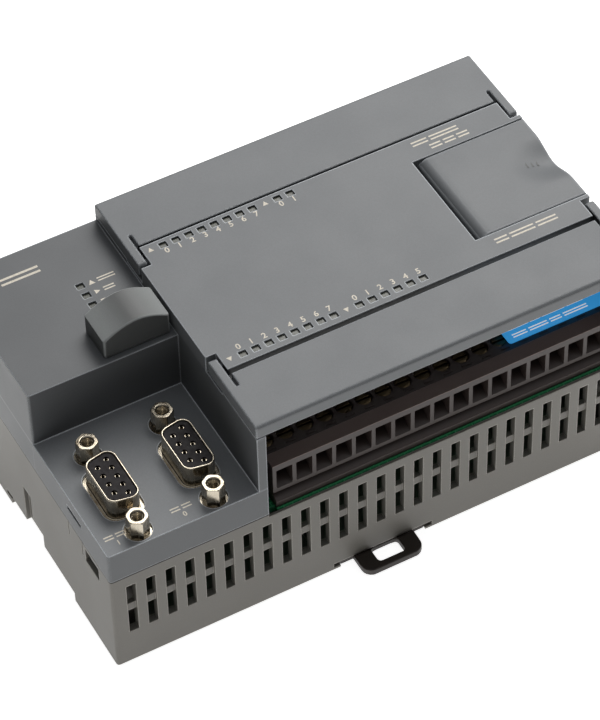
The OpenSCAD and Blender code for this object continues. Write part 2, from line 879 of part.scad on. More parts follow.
// A bar behind the panel with one prong for each window
module light_pipe(places, top_z) {
    xs = [for (p = places) p[0]];
    ys = [for (p = places) p[1]];
    bar_z = top_z - wall - 1.4;
    bar_top = top_z - wall - gap;
    color([0.35, 0.38, 0.4]) in_frame() {
        block([min(xs) - 1.4, min(ys) - 0.85, bar_z], [max(xs) + 1.4, max(ys) + 0.85, bar_top]);
        for (p = places)
            block([p[0] - prong_w/2, p[1] - prong_h/2, bar_z + eps],
                [p[0] + prong_w/2, p[1] + prong_h/2, top_z - prong_recess]);
    }
}

module led_group(places) {
    z0 = top_board_z + board_t;
    color([0.9, 0.92, 0.85]) in_frame() for (p = places)
        block([p[0] - 0.8, p[1] - 0.6, z0], [p[0] + 0.8, p[1] + 0.6, z0 + 1.1]);
}

output_places = [for (i = outputs) [led_out_x + i*led_pitch, led_out_y]];
input_places = [for (i = inputs) [led_in_x + i*led_pitch, led_in_y]];
status_places = [for (y = status_ys) [status_x, y]];

module status_light_pipe() { light_pipe(status_places, panel_z); }
module output_light_pipe() { light_pipe(output_places, unit_d); }
module input_light_pipe() { light_pipe(input_places, unit_d); }
module status_leds() { led_group(status_places); }
module output_leds() { led_group(output_places); }
module input_leds() { led_group(input_places); }

// ---- Controls in the well ----

module mode_switch_body() {
    z0 = top_board_z + board_t;
    color(black) in_frame() difference() {
        block([switch_x - 3, switch_y - 2*switch_step - 3, z0], [switch_x + 3, switch_y + 3, well_floor - 1.4]);
        block([switch_x - 1.25, switch_y - 2*switch_step - 1.3, z0 + 0.6],
            [switch_x + 1.25, switch_y + 1.3, well_floor]);
    }
}

module mode_switch_lever() {
    z0 = top_board_z + board_t + 0.7;
    color("#d8d4c8") in_frame()
        block([switch_x - 1.1, switch_y - 1, z0], [switch_x + 1.1, switch_y + 1, well_floor + 2.6]);
}

module pot_body(k) {
    z0 = top_board_z + board_t;
    color("#2c5a9a") in_frame() difference() {
        translate([0, 0, z0]) block([pot_x - 2.9, pot_ys[k] - 2.9, 0], [pot_x + 2.9, pot_ys[k] + 2.9, 1.9]);
        translate([pot_x, pot_ys[k], z0 + 0.5]) cylinder(h = 3, r = dial_r - 0.45);
    }
}

module pot_dial(k) {
    z0 = top_board_z + board_t;
    color("#e8e4d8") in_frame() translate([pot_x, pot_ys[k], z0 + 0.55]) difference() {
        union() {
            cylinder(h = 2, r = dial_r - 0.5);
            translate([0, 0, 1.55]) cylinder(h = 2.6, r = dial_r);
        }
        block([-1.7, -0.3, 3.2], [1.7, 0.3, 5]);
    }
}

module pot_0_body() { pot_body(0); }
module pot_0_dial() { pot_dial(0); }
module pot_1_body() { pot_body(1); }
module pot_1_dial() { pot_dial(1); }

// Boxed header with its key slot towards the left
module expansion_connector() {
    z0 = top_board_z + board_t;
    z1 = well_floor + 2.6;
    color(black) in_frame() difference() {
        block([exp_x - exp_w/2, exp_y - exp_h/2, z0], [exp_x + exp_w/2, exp_y + exp_h/2, z1]);
        block([exp_x - exp_w/2 + 0.8, exp_y - exp_h/2 + 0.8, z0 + 1.2],
            [exp_x + exp_w/2 - 0.8, exp_y + exp_h/2 - 0.8, z1 + 1]);
        block([exp_x - exp_w/2 - 1, exp_y - 2, z1 - 2.4], [exp_x, exp_y + 2, z1 + 1]);
    }
}

module expansion_pins() {
    z0 = top_board_z + board_t + 1.2;
    color(brass) in_frame() for (dx = [-1.27, 1.27], i = [-2:2])
        translate([exp_x + dx, exp_y + i*2.54, z0]) block([-0.32, -0.32, 0], [0.32, 0.32, 4]);
}

// ---- Power supply and other parts on the boards ----

module on_main_board() {
    in_frame() translate([0, 0, board_z + board_t]) children();
}

module on_top_board() {
    in_frame() translate([0, 0, top_board_z + board_t]) children();
}

// Core with two windows, which the winding passes through
module power_transformer_core() {
    color("#3c3e42") on_main_board() translate(transformer_at) difference() {
        block([0, 0, 0], transformer_size);
        for (y = coil_ys)
            block([-1, y, coil_z0 - 0.2], [transformer_size[0] + 1, y + coil_t + 0.4, coil_z1 + 0.2]);
    }
}

module power_transformer_coil() {
    color("#c9a23a") on_main_board() translate(transformer_at)
        for (y = coil_ys)
            block([-0.8, y + 0.2, coil_z0], [transformer_size[0] + 0.8, y + 0.2 + coil_t, coil_z1]);
}

// Each can has a groove near its foot
module bulk_capacitors() {
    color("#20242c") on_main_board()
        for (x = capacitor_xs) translate([x, capacitor_y, 0]) difference() {
            cylinder(h = capacitor_h, r = capacitor_r);
            translate([0, 0, 1.8]) rotate_extrude() translate([capacitor_r + 0.2, 0]) circle(r = 0.6);
        }
}

module power_inductor() {
    color("#4b4b4f") on_main_board() translate(inductor_at) {
        cylinder(h = inductor_flange, r = inductor_r);
        cylinder(h = inductor_h, r = inductor_r - 1.6);
        translate([0, 0, inductor_h - inductor_flange]) cylinder(h = inductor_flange, r = inductor_r);
    }
}

// A row of equal packages on a board
module chip_row(at, size, count, pitch) {
    for (i = [0:count - 1])
        translate([at[0] + i*pitch, at[1], 0]) block([0, 0, 0], size);
}

module output_relays() {
    color("#26323c") on_main_board() chip_row([106, 44], [6.4, 16, 11], 4, 7.4);
}

module input_optocouplers() {
    color(chip_grey) on_main_board() chip_row([72, 24], [6.5, 6.4, 3.4], 7, 8.5);
}

module port_drivers() {
    color(chip_grey) on_main_board()
        chip_row([port_xs[1] - 3, 42], [6, 5, 1.8], 2, port_xs[0] - port_xs[1]);
}

module processor_chip() {
    color(chip_grey) on_top_board() rounded_box([62, 33, 0], [78, 49, 1.6], 0.6);
}

module memory_chip() {
    color(chip_grey) on_top_board() chip_row([84, 36], [10, 10, 1.4], 1, 0);
}

module backup_capacitor() {
    color("#30343c") on_top_board() translate([55, 40, 0]) {
        cylinder(h = 5.4, r = 5.2);
        cylinder(h = 6, r = 4.6);
    }
}

base();
upper_housing();
din_latch();
main_board();
top_board();
board_link();
lower_terminal_header();
lower_header_pins();
lower_terminal_plug();
lower_terminal_screws();
lower_wire_clamps();
upper_terminal_header();
upper_header_pins();
upper_terminal_plug();
upper_terminal_screws();
upper_wire_clamps();
terminal_label();
lower_terminal_cover();
upper_terminal_cover();
access_door();
cartridge_cover();
cartridge_connector();
port_0_shell();
port_0_insulator();
port_0_contacts();
port_0_jackscrews();
port_1_shell();
port_1_insulator();
port_1_contacts();
port_1_jackscrews();
status_light_pipe();
output_light_pipe();
input_light_pipe();
status_leds();
output_leds();
input_leds();
mode_switch_body();
mode_switch_lever();
pot_0_body();
pot_0_dial();
pot_1_body();
pot_1_dial();
expansion_connector();
expansion_pins();
power_transformer_core();
power_transformer_coil();
bulk_capacitors();
power_inductor();
output_relays();
input_optocouplers();
port_drivers();
processor_chip();
memory_chip();
backup_capacitor();
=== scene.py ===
import json
import math

import bmesh
import bpy
from mathutils import Matrix, Vector


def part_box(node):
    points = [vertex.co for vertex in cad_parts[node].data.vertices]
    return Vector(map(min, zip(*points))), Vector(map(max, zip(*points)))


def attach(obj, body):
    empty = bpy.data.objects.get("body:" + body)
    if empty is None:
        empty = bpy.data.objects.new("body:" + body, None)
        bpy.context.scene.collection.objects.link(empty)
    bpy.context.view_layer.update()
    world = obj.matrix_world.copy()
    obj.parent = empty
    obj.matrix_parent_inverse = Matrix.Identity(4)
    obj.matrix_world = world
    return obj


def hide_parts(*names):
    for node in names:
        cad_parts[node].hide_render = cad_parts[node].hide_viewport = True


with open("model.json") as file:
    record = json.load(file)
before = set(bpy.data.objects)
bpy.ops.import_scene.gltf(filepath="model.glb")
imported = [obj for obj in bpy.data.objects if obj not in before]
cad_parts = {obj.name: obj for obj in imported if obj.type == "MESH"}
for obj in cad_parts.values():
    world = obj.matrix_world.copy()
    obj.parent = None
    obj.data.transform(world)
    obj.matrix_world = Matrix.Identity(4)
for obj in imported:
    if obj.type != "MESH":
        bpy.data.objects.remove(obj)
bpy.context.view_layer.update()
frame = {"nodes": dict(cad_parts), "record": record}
cad = frame["nodes"]

# Millimetres, in metres
MM = 0.001
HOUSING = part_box("upper_housing")
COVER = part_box("lower_terminal_cover")
LEFT = HOUSING[0].x
FRONT_EDGE = HOUSING[0].y
FACE = COVER[1].z
PANEL = FACE - 5.5 * MM
BAY = FACE - 22.1 * MM
# Where the upper housing stands on the base
JOINT = 30.5 * MM
# Light grey ink of the printed marks, and its thickness
INK = (232, 224, 208)
INK_T = 0.012
# How far a mark's underside stands off the surface, so that the two don't fight
PROUD = 0.004
# Edges that turn by more than this stay crisp, and are the ones that get rounded
CREASE = 38


def place(x, y, z=0.0):
    """A point given in millimetres from the housing's lower left corner, with z from the back."""
    return Vector((LEFT + x * MM, FRONT_EDGE + y * MM, z * MM))


# ---- Camera, floor and light ----

CAMERA_TARGET = Vector((-4.442, -9.635, 40.0)) * MM
CAMERA_DISTANCE = 826.615 * MM
CAMERA_AZIMUTH = math.radians(-27.618)
CAMERA_ELEVATION = math.radians(48.296)
CAMERA_ROLL = math.radians(-1.617)
CAMERA_LENS = 177.33


def direction(azimuth, elevation):
    """Unit vector from the object: azimuth 0 is in front of it, at -Y, and 90 is at its right, at +X."""
    flat = math.cos(elevation)
    return Vector((math.sin(azimuth) * flat, -math.cos(azimuth) * flat, math.sin(elevation)))


def make_camera():
    lens = bpy.data.cameras.new("camera")
    lens.lens = CAMERA_LENS
    lens.clip_start = 0.01
    camera = bpy.data.objects.new("camera", lens)
    bpy.context.scene.collection.objects.link(camera)
    back = direction(CAMERA_AZIMUTH, CAMERA_ELEVATION)
    turn = back.to_track_quat("Z", "Y").to_matrix() @ Matrix.Rotation(CAMERA_ROLL, 3, "Z")
    camera.matrix_world = Matrix.Translation(CAMERA_TARGET + CAMERA_DISTANCE * back) @ turn.to_4x4()
    bpy.context.scene.camera = camera


def make_lamp(name, azimuth, elevation, distance, size, power, colour=(1, 1, 1)):
    """A square softbox that faces the object. Angles are in degrees, lengths in metres."""
    light = bpy.data.lights.new(name, "AREA")
    light.energy = power
    light.size = size
    light.color = colour
    lamp = bpy.data.objects.new(name, light)
    bpy.context.scene.collection.objects.link(lamp)
    back = direction(math.radians(azimuth), math.radians(elevation))
    turn = back.to_track_quat("Z", "Y").to_matrix().to_4x4()
    lamp.matrix_world = Matrix.Translation(distance * back) @ turn


def make_sky():
    """Soft studio surroundings: dark at the horizon and bright overhead."""
    world = bpy.data.worlds.new("studio")
    bpy.context.scene.world = world
    world.use_nodes = True
    nodes, links = world.node_tree.nodes, world.node_tree.links
    ground = nodes["Background"]
    coordinates = nodes.new("ShaderNodeTexCoord")
    split = nodes.new("ShaderNodeSeparateXYZ")
    ramp = nodes.new("ShaderNodeValToRGB")
    shift = nodes.new("ShaderNodeMath")
    shift.operation = "MULTIPLY_ADD"
    shift.inputs[1].default_value = 0.5
    shift.inputs[2].default_value = 0.5
    ramp.color_ramp.elements[0].position = 0.76
    ramp.color_ramp.elements[0].color = (0.06, 0.056, 0.05, 1)
    ramp.color_ramp.elements[1].position = 0.98
    ramp.color_ramp.elements[1].color = (0.80, 0.81, 0.83, 1)
    links.new(coordinates.outputs["Generated"], split.inputs[0])
    links.new(split.outputs["Z"], shift.inputs[0])
    links.new(shift.outputs[0], ramp.inputs[0])
    links.new(ramp.outputs[0], ground.inputs["Color"])
    ground.inputs["Strength"].default_value = 0.7


def make_floor():
    """A white light table, so that the sides are lit from below as well."""
    mesh = bpy.data.meshes.new("floor")
    half = 4.0
    below = -0.02 * MM
    corners = [(-half, -half, below), (half, -half, below), (half, half, below), (-half, half, below)]
    mesh.from_pydata(corners, [], [(0, 1, 2, 3)])
    floor = bpy.data.objects.new("floor", mesh)
    bpy.context.scene.collection.objects.link(floor)
    near = (240, 240, 238)
    far = (150, 150, 148)
    white = Finish("floor_white", near, 0.9)
    away = white.node("ShaderNodeVectorMath", operation="LENGTH")
    white.feed(away.inputs[0], white.where)
    glow = white.between(away.outputs["Value"], 0.16, 0.34, 0.85, 0.0)
    white.shader.inputs["Emission Color"].default_value = (1, 1, 1, 1)
    white.feed(white.shader.inputs["Emission Strength"], glow)
    fade = white.between(away.outputs["Value"], 0.2, 0.6)
    white.colour(white.blend(fade, linear(near), linear(far)))
    mesh.materials.append(white.material)


# ---- Finishes ----


def linear(colour):
    """Colour on the 0 to 255 display scale, as the linear values that shaders take."""
    parts = [c / 255 for c in colour]
    return (*[p / 12.92 if p < 0.04045 else ((p + 0.055) / 1.055) ** 2.4 for p in parts], 1.0)


class Finish:
    """One material's node tree, with short calls for the nodes that the finishes share.
    Its patterns are laid out in the object's own metres, so they ride with each moving piece."""

    def __init__(self, name, colour, roughness, metallic=0.0):
        self.material = bpy.data.materials.new(name)
        self.material.use_nodes = True
        self.tree = self.material.node_tree
        self.tree.nodes.clear()
        self.shader = self.node("ShaderNodeBsdfPrincipled")
        output = self.node("ShaderNodeOutputMaterial")
        self.tree.links.new(self.shader.outputs[0], output.inputs["Surface"])
        self.shader.inputs["Base Color"].default_value = linear(colour)
        self.shader.inputs["Roughness"].default_value = roughness
        self.shader.inputs["Metallic"].default_value = metallic
        coordinates = self.node("ShaderNodeTexCoord")
        self.where = coordinates.outputs["Object"]
        self.normal = coordinates.outputs["Normal"]
        self.under = None

    def node(self, kind, **settings):
        made = self.tree.nodes.new(kind)
        for key, value in settings.items():
            setattr(made, key, value)
        return made

    def feed(self, socket, value):
        """Links an output to the socket, or sets the socket to a plain value."""
        if isinstance(value, bpy.types.NodeSocket):
            self.tree.links.new(value, socket)
        else:
            socket.default_value = value

    def noise(self, size, detail=2.0, stretch=(1, 1, 1)):
        """Noise whose features are about size millimetres across."""
        made = self.node("ShaderNodeTexNoise")
        spread = self.node("ShaderNodeVectorMath", operation="MULTIPLY")
        self.feed(spread.inputs[0], self.where)
        self.feed(spread.inputs[1], Vector(stretch))
        self.feed(made.inputs["Vector"], spread.outputs[0])
        made.inputs["Scale"].default_value = 1 / (size * MM)
        made.inputs["Detail"].default_value = detail
        return made.outputs["Fac"]

    def cells(self, size):
        """Distance to the nearest of scattered points, about size millimetres apart."""
        made = self.node("ShaderNodeTexVoronoi")
        self.feed(made.inputs["Vector"], self.where)
        made.inputs["Scale"].default_value = 1 / (size * MM)
        return made.outputs["Distance"]

    def between(self, value, low, high, out_low=0.0, out_high=1.0):
        """Carries value from low..high to out_low..out_high, held at both ends."""
        made = self.node("ShaderNodeMapRange")
        for socket, given in zip(made.inputs, (value, low, high, out_low, out_high)):
            self.feed(socket, given)
        return made.outputs[0]

    def math(self, operation, a, b=0.0):
        made = self.node("ShaderNodeMath", operation=operation)
        self.feed(made.inputs[0], a)
        self.feed(made.inputs[1], b)
        return made.outputs[0]

    def axis(self, name):
        """Distance along X, Y or Z of the shared frame, in metres."""
        split = self.node("ShaderNodeSeparateXYZ")
        self.feed(split.inputs[0], self.where)
        return split.outputs[name]

    def edges(self):
        """1 on the rounded edges of a square-built piece, and 0 on its flat faces."""
        split = self.node("ShaderNodeSeparateXYZ")
        self.feed(split.inputs[0], self.normal)
        sides = [self.math("ABSOLUTE", split.outputs[name]) for name in "XYZ"]
        flatness = self.math("MAXIMUM", self.math("MAXIMUM", sides[0], sides[1]), sides[2])
        return self.between(flatness, 0.995, 0.86)

    def soften(self, radius):
        """Rounds the look of every sharp edge, and gives 1 along those edges for their painted highlight.
        """
        soft = self.node("ShaderNodeBevel", samples=6)
        soft.inputs["Radius"].default_value = radius * MM
        self.under = soft.outputs[0]
        flat = self.node("ShaderNodeNewGeometry").outputs["True Normal"]
        turned = self.node("ShaderNodeVectorMath", operation="DOT_PRODUCT")
        self.feed(turned.inputs[0], self.under)
        self.feed(turned.inputs[1], flat)
        return self.between(turned.outputs["Value"], 0.995, 0.9)

    def blend(self, amount, a, b):
        made = self.node("ShaderNodeMix", data_type="RGBA")
        self.feed(made.inputs["Factor"], amount)
        self.feed(made.inputs[6], a)
        self.feed(made.inputs[7], b)
        return made.outputs[2]

    def shade(self, colour, amount):
        """The colour with its value multiplied by amount."""
        made = self.node("ShaderNodeHueSaturation")
        self.feed(made.inputs["Value"], amount)
        self.feed(made.inputs["Color"], colour)
        return made.outputs[0]

    def colour(self, value):
        self.feed(self.shader.inputs["Base Color"], value)

    def roughness(self, value):
        self.feed(self.shader.inputs["Roughness"], value)

    def bump(self, *layers):
        """Each layer is a height from 0 to 1 and its depth in millimetres."""
        last = self.under
        for height, depth in layers:
            made = self.node("ShaderNodeBump")
            made.inputs["Distance"].default_value = depth * MM
            self.feed(made.inputs["Height"], height)
            if last:
                self.feed(made.inputs["Normal"], last)
            last = made.outputs[0]
        self.feed(self.shader.inputs["Normal"], last)


def moulded(name, colour, roughness=0.5, grain=0.012, edge_highlight=1.7, tone=None, soft=0.0):
    """Spark-textured plastic: fine grain, cloudy shade, polished along the edges, and paler there as a
    painted highlight.
    grain is the texture's depth and soft the radius of shaded edges, both in millimetres."""
    made = Finish(name, colour, roughness)
    edges = made.soften(soft) if soft else made.edges()
    fine = made.noise(0.28, 3)
    clouds = made.noise(16, 2)
    specks = made.between(made.cells(2.6), 0.045, 0.03)
    level = made.between(clouds, 0.3, 0.7, 0.985, 1.015)
    level = made.math("MULTIPLY", level, made.between(fine, 0.3, 0.7, 0.95, 1.05))
    # Painted highlight: the edges are made paler, by up to the given factor
    level = made.math("MULTIPLY", level, made.between(edges, 0, 1, 1, edge_highlight))
    level = made.math("ADD", level, made.math("MULTIPLY", specks, 0.18))
    # The tone function paints light and shade onto the colour by place
    if tone:
        level = made.math("MULTIPLY", level, tone(made))
    made.colour(made.shade(linear(colour), level))
    rub = made.between(made.noise(14, 4), 0.35, 0.65, roughness - 0.02, roughness + 0.02)
    made.roughness(made.math("SUBTRACT", rub, made.math("MULTIPLY", edges, 0.12)))
    made.bump((fine, grain), (made.noise(3.5, 2), 0.006))
    return made.material


def seam_tone(made):
    """Shadow in the joint between the two housing halves, seen on the outer walls."""
    off_joint = made.math("ABSOLUTE", made.math("SUBTRACT", made.axis("Z"), JOINT))
    return made.between(off_joint, 0.14 * MM, 0.24 * MM, 0.12, 1.0)


def gap_tone(made):
    """Painted shade: the housing's walls inside the narrow gaps between the raised face and the terminal
    covers are painted nearly black.
    """
    from_middle = made.math("ABSOLUTE", made.axis("Y"))
    depth = made.math("SUBTRACT", FACE, made.axis("Z"))
    past_middle = made.between(from_middle, 18.9 * MM, 19.0 * MM, 0.0, 1.0)
    before_cover = made.between(from_middle, 23.3 * MM, 23.4 * MM, 1.0, 0.0)
    under_face = made.between(depth, 0.25 * MM, 0.35 * MM, 0.0, 1.0)
    over_panel = made.between(depth, 5.0 * MM, 5.2 * MM, 1.0, 0.0)
    past_left = made.between(made.axis("X"), LEFT + 38.8 * MM, LEFT + 39.0 * MM, 0.0, 1.0)
    inside = past_middle
    for limit in (before_cover, under_face, over_panel, past_left):
        inside = made.math("MULTIPLY", inside, limit)
    return made.between(inside, 0.0, 1.0, 1.0, 0.16)


def housing_tone(made):
    """Painted light and shade on the housing: the left panel is painted a shade darker than the raised
    face, and the port bay's floor painted paler; the seam and gap shadows are painted in too.
    """
    height = made.axis("Z")
    # Painted shade: the left panel is made darker than the raised face
    panel = made.between(height, PANEL + 0.4 * MM, PANEL + 1.2 * MM, 0.7, 1.0)
    off_floor = made.math("ABSOLUTE", made.math("SUBTRACT", height, BAY))
    # Painted light: the port bay's floor is made paler, lifting its shade
    bay = made.between(off_floor, 0.2 * MM, 0.4 * MM, 1.7, 1.0)
    shadows = made.math("MULTIPLY", seam_tone(made), gap_tone(made))
    return made.math("MULTIPLY", shadows, made.math("MULTIPLY", panel, bay))


def plug_tone(made):
    """Painted light and shade on the plugs: their top strips are painted a paler brown than their fronts,
    as painted light in the covers' shade, and the screw wells painted darker, as painted shade.
    """
    away = made.math("ABSOLUTE", made.axis("Y"))
    # Painted light on the top strips, painted shade in the screw wells
    strip = made.between(away, 30.6 * MM, 30.8 * MM, 0.4, 3.4)
    top = 42.3 * MM
    return made.between(made.axis("Z"), top - 0.1 * MM, top + 0.1 * MM, 1.0, strip)


def glossy(name, colour, roughness=0.28, coat=0.0, shine=0.5):
    """Smooth moulded plastic with faint flow marks."""
    made = Finish(name, colour, roughness)
    made.shader.inputs["Specular IOR Level"].default_value = shine
    made.shader.inputs["Coat Weight"].default_value = coat
    flow = made.noise(2.2, 3, (0.4, 1, 1))
    level = made.between(flow, 0.3, 0.7, 0.9, 1.1)
    level = made.math("ADD", level, made.math("MULTIPLY", made.edges(), 0.25))
    made.colour(made.shade(linear(colour), level))
    made.roughness(made.between(made.noise(1.2, 3), 0.3, 0.7, roughness - 0.06, roughness + 0.08))
    made.bump((made.noise(0.5, 2), 0.006))
    return made.material


def plated(name, colour, roughness=0.2, tarnish=(120, 96, 62)):
    """Bright plate over stamped steel, with a warm stain and drawing marks."""
    made = Finish(name, colour, roughness, 1.0)
    stain = made.between(made.noise(3.2, 4), 0.48, 0.75, 0.0, 0.55)
    made.colour(made.blend(stain, linear(colour), linear(tarnish)))
    drawn = made.noise(0.5, 2, (1, 1, 0.12))
    made.roughness(made.between(drawn, 0.3, 0.7, roughness - 0.05, roughness + 0.1))
    made.bump((drawn, 0.006), (made.noise(1.6, 2), 0.012))
    return made.material


def solder_mask(name):
    """Green board, with the tracks showing as paler lines under the mask."""
    made = Finish(name, (34, 124, 80), 0.3)
    bricks = made.node("ShaderNodeTexBrick")
    made.feed(bricks.inputs["Vector"], made.where)
    bricks.inputs["Scale"].default_value = 220
    bricks.inputs["Mortar Size"].default_value = 0.035
    bricks.inputs["Color1"].default_value = linear((30, 116, 74))
    bricks.inputs["Color2"].default_value = linear((36, 130, 84))
    bricks.inputs["Mortar"].default_value = linear((70, 168, 110))
    weave = made.between(made.noise(0.4, 2), 0.3, 0.7, 0.88, 1.12)
    made.colour(made.shade(bricks.outputs["Color"], weave))
    made.roughness(made.between(made.noise(2, 2), 0.3, 0.7, 0.24, 0.38))
    made.bump((bricks.outputs["Fac"], 0.02), (made.noise(0.4, 2), 0.01))
    return made.material


def printed_film(name):
    """Blue vinyl label: fine print screen over a slightly cloudy blue."""
    blue = (62, 168, 240)
    made = Finish(name, blue, 0.36)
    # Painted light: the label glows a little, lifting it out of the covers' shade
    made.shader.inputs["Emission Color"].default_value = linear(blue)
    made.shader.inputs["Emission Strength"].default_value = 0.45
    dots = made.between(made.cells(0.22), 0.1, 0.5, 0.95, 1.05)
    clouds = made.between(made.noise(5, 2), 0.3, 0.7, 0.94, 1.05)
    made.colour(made.shade(linear(blue), made.math("MULTIPLY", dots, clouds)))
    made.roughness(made.between(made.noise(1.5, 3), 0.3, 0.7, 0.3, 0.42))
    made.bump((made.noise(2.4, 2), 0.02))
    return made.material


def smoked(name):
    """Smoked light pipe, unlit, with a polished end."""
    smoke = (66, 68, 58)
    made = Finish(name, smoke, 0.3)
    level = made.between(made.noise(0.8, 2), 0.3, 0.7, 0.85, 1.15)
    made.colour(made.shade(linear(smoke), level))
    made.roughness(made.between(made.noise(0.6, 2), 0.3, 0.7, 0.24, 0.38))
    made.bump((made.noise(0.9, 1), 0.004))
    return made.material


def sintered(name):
    """Pressed ferrite: dull, dark and gritty."""
    ferrite = (62, 62, 64)
    made = Finish(name, ferrite, 0.6)
    grit = made.noise(0.35, 5)
    made.colour(made.shade(linear(ferrite), made.between(grit, 0.3, 0.7, 0.75, 1.25)))
    made.roughness(made.between(grit, 0.3, 0.7, 0.5, 0.75))
    made.bump((grit, 0.03))
    return made.material


def wound_tape(name):
    """Amber tape over the winding, with the turns showing through."""
    amber = (196, 148, 48)
    made = Finish(name, amber, 0.3)
    wave = made.node("ShaderNodeTexWave", bands_direction="Z")
    made.feed(wave.inputs["Vector"], made.where)
    wave.inputs["Scale"].default_value = 500
    made.colour(made.shade(linear(amber), made.between(wave.outputs["Fac"], 0, 1, 0.7, 1.1)))
    made.roughness(made.between(made.noise(1, 2), 0.3, 0.7, 0.22, 0.4))
    made.bump((wave.outputs["Fac"], 0.03))
    return made.material


def ink(name, colour, glow=0.0):
    """Screen-printed ink, a little thin in places."""
    made = Finish(name, colour, 0.55)
    # glow is painted light: the ink shines a little where it lies in shade
    made.shader.inputs["Emission Color"].default_value = linear(colour)
    made.shader.inputs["Emission Strength"].default_value = glow
    thin = made.between(made.noise(0.35, 2), 0.35, 0.6, 0.8, 1.03)
    made.colour(made.shade(linear(colour), thin))
    made.roughness(made.between(made.noise(0.8, 2), 0.3, 0.7, 0.48, 0.64))
    made.bump((made.noise(0.2, 2), 0.004))
    return made.material


# One finish for each material slot of the record
FINISHES = {
    "housing_plastic": lambda name: moulded(name, (115, 118, 121), edge_highlight=4.4, tone=housing_tone, soft=0.5),
    "cap_plastic": lambda name: moulded(name, (86, 88, 88), edge_highlight=3.4),
    "base_plastic": lambda name: moulded(name, (117, 114, 108), edge_highlight=2.6, tone=seam_tone, soft=0.4),
    "latch_plastic": lambda name: moulded(name, (40, 32, 26), 0.5, edge_highlight=1.4),
    "terminal_plastic": lambda name: moulded(name, (63, 53, 50), 0.45, 0.008, 1.5, plug_tone),
    "connector_black": lambda name: glossy(name, (26, 21, 23), 0.4, shine=0.14),
    "circuit_board": solder_mask,
    "nickel": lambda name: plated(name, (192, 183, 166)),
    "screw_brass": lambda name: plated(name, (88, 77, 58), 0.35, (44, 38, 30)),
    "brass": lambda name: plated(name, (206, 170, 104), 0.22),
    "blue_label": printed_film,
    "smoked_window": smoked,
    "led_resin": lambda name: glossy(name, (214, 218, 204), 0.15),
    "pale_plastic": lambda name: glossy(name, (222, 216, 200), 0.35),
    "blue_plastic": lambda name: glossy(name, (46, 92, 160), 0.3),
    "ferrite": sintered,
    "coil_tape": wound_tape,
    "capacitor_sleeve": lambda name: glossy(name, (40, 44, 56), 0.25, 0.5),
    "relay_plastic": lambda name: glossy(name, (48, 60, 72), 0.35),
    "chip_plastic": lambda name: moulded(name, (44, 44, 46), 0.5, 0.008),
}

# Edge radius in millimetres, and the CAD pieces whose edges are rounded to it
EDGE_RADII = {
    0.05: ["terminal_label"],
    0.1: ["main_board", "top_board", "lower_terminal_screws", "upper_terminal_screws",
          "lower_wire_clamps", "upper_wire_clamps", "processor_chip", "memory_chip"],
    0.12: ["lower_terminal_plug", "upper_terminal_plug", "port_0_insulator", "port_1_insulator",
           "expansion_pins"],
    0.14: ["port_0_jackscrews", "port_1_jackscrews"],
    0.15: ["lower_terminal_header", "upper_terminal_header", "mode_switch_body", "pot_0_body",
           "pot_1_body", "pot_0_dial", "pot_1_dial", "expansion_connector", "port_drivers",
           "cartridge_connector"],
    0.2: ["mode_switch_lever", "input_optocouplers", "board_link"],
    0.22: ["port_0_shell", "port_1_shell"],
    0.3: ["din_latch", "power_transformer_core", "power_inductor", "backup_capacitor"],
    0.35: ["lower_terminal_cover", "upper_terminal_cover"],
    0.4: ["output_relays"],
    0.5: ["power_transformer_coil", "bulk_capacitors"],
    0.6: ["cartridge_cover"],
}

# Pieces whose large flat faces are shaded flat
FLAT = ("lower_terminal_cover", "upper_terminal_cover")
# Pieces simple enough for their triangles to be merged before the edges are rounded
MERGED = FLAT + ("port_0_shell", "port_1_shell", "port_0_jackscrews", "port_1_jackscrews",
                 "port_0_insulator", "port_1_insulator")


def round_edges(name, radius):
    """Real rounded edges on a CAD piece, as modifiers over its unchanged mesh."""
    piece = cad[name]
    weld = piece.modifiers.new("weld", "WELD")
    weld.merge_threshold = 0.002 * MM
    if name in MERGED:
        flats = piece.modifiers.new("flats", "DECIMATE")
        flats.decimate_type = "DISSOLVE"
        flats.angle_limit = math.radians(0.6)
    rounding = piece.modifiers.new("rounding", "BEVEL")
    rounding.width = radius * MM
    rounding.segments = 2
    rounding.limit_method = "ANGLE"
    rounding.angle_limit = math.radians(CREASE)
    rounding.use_clamp_overlap = False
    rounding.miter_outer = "MITER_ARC"
    rounding.face_strength_mode = "FSTR_ALL"
    if name in FLAT:
        piece.data.shade_flat()
        rounding.segments = 4
        return
    normals = piece.modifiers.new("normals", "WEIGHTED_NORMAL")
    normals.use_face_influence = True


def finish_cad():
    """Gives every CAD piece its slot's finish, and returns the finishes by slot."""
    made = {slot: build(slot) for slot, build in FINISHES.items()}
    radii = {name: radius for radius, names in EDGE_RADII.items() for name in names}
    for part in frame["record"]["subparts"]:
        piece = cad[part["node"]]
        for slot in piece.material_slots:
            slot.material = made[part["material_slot"]]
        piece.data.shade_smooth()
        if part["node"] in radii:
            round_edges(part["node"], radii[part["node"]])
        else:
            piece.data.set_sharp_from_angle(angle=math.radians(CREASE))
    return made


# ---- Pieces added to the CAD ----


def add_piece(name, mesh, slot, body, finish=None):
    """A new piece: it takes its slot's finish and rides with its body."""
    piece = bpy.data.objects.new(name, mesh)
    bpy.context.scene.collection.objects.link(piece)
    mesh.materials.append(finish or finishes[slot])
    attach(piece, body)
    return piece


def mesh_from(bm, name, crease=CREASE):
    """A mesh from bm, smooth apart from its creases. bm is used up."""
    mesh = bpy.data.meshes.new(name)
    bmesh.ops.recalc_face_normals(bm, faces=bm.faces)
    bm.to_mesh(mesh)
    bm.free()
    mesh.shade_smooth()
    mesh.set_sharp_from_angle(angle=math.radians(crease))
    return mesh


